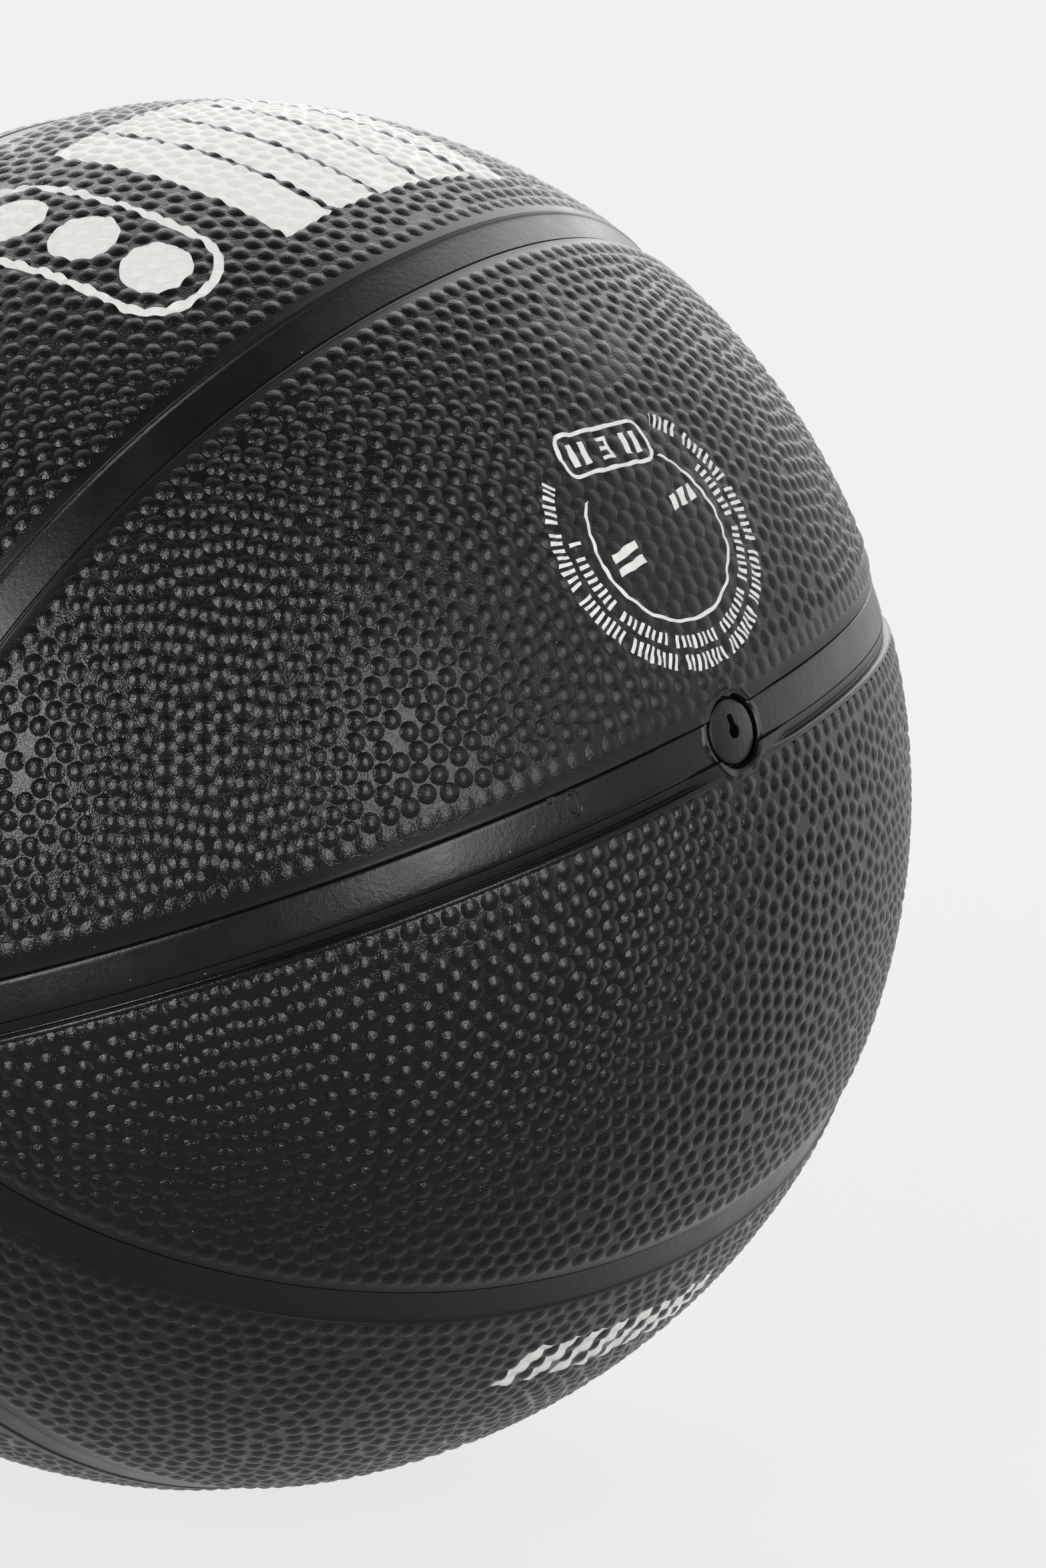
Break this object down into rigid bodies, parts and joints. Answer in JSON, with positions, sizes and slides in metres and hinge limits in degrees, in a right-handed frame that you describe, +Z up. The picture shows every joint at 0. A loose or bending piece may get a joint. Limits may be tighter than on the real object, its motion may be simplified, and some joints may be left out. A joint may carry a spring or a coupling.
{
  "type": "mini basketball",
  "caption": "Small hollow moulded rubber ball with pebbled panels, recessed channel strips and a needle valve; inner layers modelled.",
  "frame": {"origin": "centre of the ball", "axes": "+Z up as the ball rests in its pictured pose; the floor touches it at -Z; the valve faces right, forward and a little up, at (0.70, -0.68, 0.22)"},
  "size_m": [0.1776, 0.1774, 0.1776],
  "materials": {
    "cover_rubber": "pebbled, semi-matt black",
    "strip_rubber": "smooth, semi-matt black",
    "valve_rubber": "smooth, glossy black",
    "bladder_rubber": "smooth, matt black",
    "carcass_rubber": "matt dark grey",
    "nylon_thread": "wound thread, natural white"
  },
  "bodies": {
    "root": {"oval_panel_valve_upper": "cover_rubber", "oval_panel_valve_lower": "cover_rubber", "oval_panel_far_upper": "cover_rubber", "oval_panel_far_lower": "cover_rubber", "crescent_panel_valve_upper": "cover_rubber", "crescent_panel_valve_lower": "cover_rubber", "crescent_panel_far_upper": "cover_rubber", "crescent_panel_far_lower": "cover_rubber", "main_seam_strip": "strip_rubber", "cross_seam_strip_upper": "strip_rubber", "cross_seam_strip_lower": "strip_rubber", "loop_strip_valve_upper": "strip_rubber", "loop_strip_valve_lower": "strip_rubber", "loop_strip_far_upper": "strip_rubber", "loop_strip_far_lower": "strip_rubber", "bladder": "bladder_rubber", "valve_seat": "bladder_rubber", "valve_plug": "valve_rubber", "thread_winding": "nylon_thread", "carcass": "carcass_rubber"}
  },
  "joints": []
}
